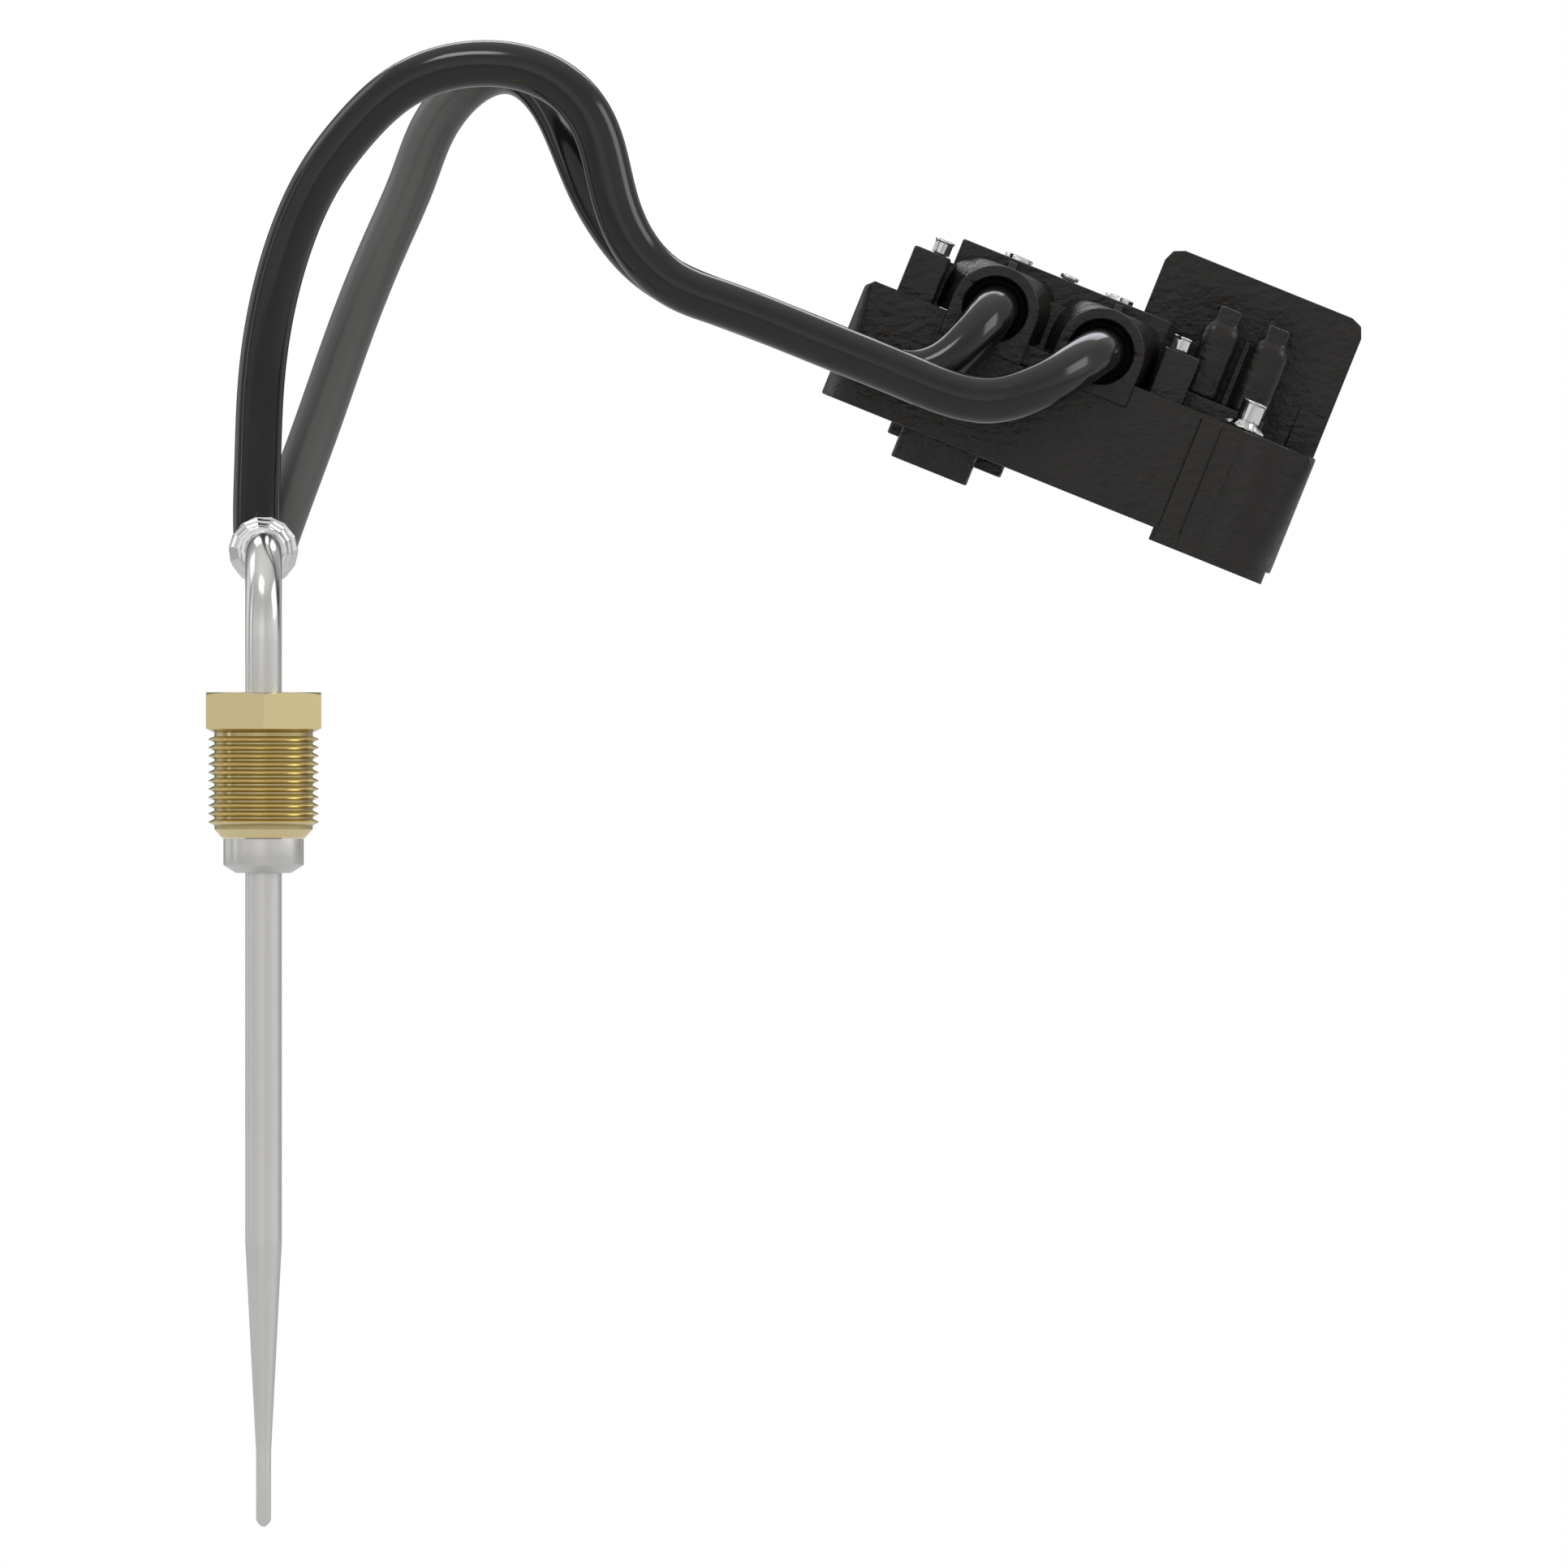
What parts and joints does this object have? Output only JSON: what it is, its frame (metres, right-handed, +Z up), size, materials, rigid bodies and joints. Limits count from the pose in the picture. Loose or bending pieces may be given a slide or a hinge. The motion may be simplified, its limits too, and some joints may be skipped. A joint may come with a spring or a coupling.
{
  "type": "flame sensor probe",
  "caption": "Sheathed flame sensor probe with brass gland nut, bent neck, crimp ferrule, sleeved leads and a moulded terminal block.",
  "frame": {"origin": "on the probe's axis where the gland nut meets the seat collar", "axes": "+Z up the probe away from its tip, +Y the way the neck bends, +X towards the terminal block"},
  "size_m": [0.2093, 0.0954, 0.2692],
  "materials": {
    "satin_steel": "satin drawn steel",
    "bright_steel": "bright plated steel",
    "brass": "machined brass",
    "sleeve_black": "glossy black sleeve",
    "moulded_black": "finely textured moulding",
    "bush_rubber": "matt rubber",
    "ceramic": "fired, unglazed",
    "potting_resin": "cast resin",
    "element_wire": "drawn alloy wire",
    "tinned_copper": "tinned"
  },
  "bodies": {
    "probe": {"probe_sheath": "satin_steel", "seat_collar": "satin_steel", "crimp_ferrule": "bright_steel", "cover_screw": "bright_steel", "post_screw_left": "bright_steel", "post_screw_right": "bright_steel", "plate_screw_1": "bright_steel", "plate_screw_2": "bright_steel", "busbar_1": "brass", "busbar_2": "brass", "earth_insert": "brass", "lead_1": "sleeve_black", "lead_2": "sleeve_black", "base_housing": "moulded_black", "base_plate": "moulded_black", "cable_saddle": "moulded_black", "terminal_cover": "moulded_black", "barrier_plate": "moulded_black", "port_bush_1": "bush_rubber", "port_bush_2": "bush_rubber", "lead_core_1": "bush_rubber", "lead_core_2": "bush_rubber", "ceramic_core": "ceramic", "potting_plug": "potting_resin", "sensor_wire_1": "element_wire", "sensor_wire_2": "element_wire", "hot_junction": "element_wire", "lead_pin_1": "tinned_copper", "lead_pin_2": "tinned_copper"},
    "nut_ring": {"slip_washer": "satin_steel"},
    "nut": {"gland_nut": "brass"},
    "clamp_screw_1": {"terminal_screw_1": "bright_steel"},
    "clamp_screw_2": {"terminal_screw_2": "bright_steel"},
    "cage_1": {"clamp_cage_1": "satin_steel"},
    "cage_2": {"clamp_cage_2": "satin_steel"},
    "earth_ring": {"earth_washer": "bright_steel"},
    "earth_bolt": {"earth_screw": "bright_steel"},
    "cap_1": {"tab_cap_1": "moulded_black"},
    "cap_2": {"tab_cap_2": "moulded_black"}
  },
  "joints": [
    {"name": "nut_slide", "type": "slide", "parent": "probe", "child": "nut_ring", "axis": [0, 0, 1], "range_m": [0, 0.009]},
    {"name": "nut_turn", "type": "hinge", "parent": "nut_ring", "child": "nut", "pos_m": [0, 0, 0], "axis": [0, 0, 1], "continuous": true},
    {"name": "clamp_screw_1_turn", "type": "hinge", "parent": "probe", "child": "clamp_screw_1", "pos_m": [0.13629, 0.0715, 0.10349], "axis": [0.3746, 0, 0.9272], "range_deg": [0, 1080]},
    {"name": "cage_1_lower", "type": "slide", "parent": "probe", "child": "cage_1", "axis": [0.3746, 0, 0.9272], "range_m": [-0.0021, 0]},
    {"name": "clamp_screw_2_turn", "type": "hinge", "parent": "probe", "child": "clamp_screw_2", "pos_m": [0.15446, 0.0715, 0.09615], "axis": [0.3746, 0, 0.9272], "range_deg": [0, 1080]},
    {"name": "cage_2_lower", "type": "slide", "parent": "probe", "child": "cage_2", "axis": [0.3746, 0, 0.9272], "range_m": [-0.0021, 0]},
    {"name": "earth_lift", "type": "slide", "parent": "probe", "child": "earth_ring", "axis": [0.3746, 0, 0.9272], "range_m": [0, 0.0028]},
    {"name": "earth_turn", "type": "hinge", "parent": "earth_ring", "child": "earth_bolt", "pos_m": [0.17816, 0.06, 0.07525], "axis": [0.3746, 0, 0.9272], "range_deg": [0, 1440]},
    {"name": "cap_1_pull", "type": "slide", "parent": "probe", "child": "cap_1", "axis": [0.3746, 0, 0.9272], "range_m": [0, 0.0105]},
    {"name": "cap_2_pull", "type": "slide", "parent": "probe", "child": "cap_2", "axis": [0.3746, 0, 0.9272], "range_m": [0, 0.0105]}
  ],
  "couplings": [
    {"joint": "clamp_screw_1_turn", "follows": "cage_1_lower", "rad_per_m": -8975.9},
    {"joint": "clamp_screw_2_turn", "follows": "cage_2_lower", "rad_per_m": -8975.9},
    {"joint": "earth_turn", "follows": "earth_lift", "rad_per_m": 8975.9}
  ]
}
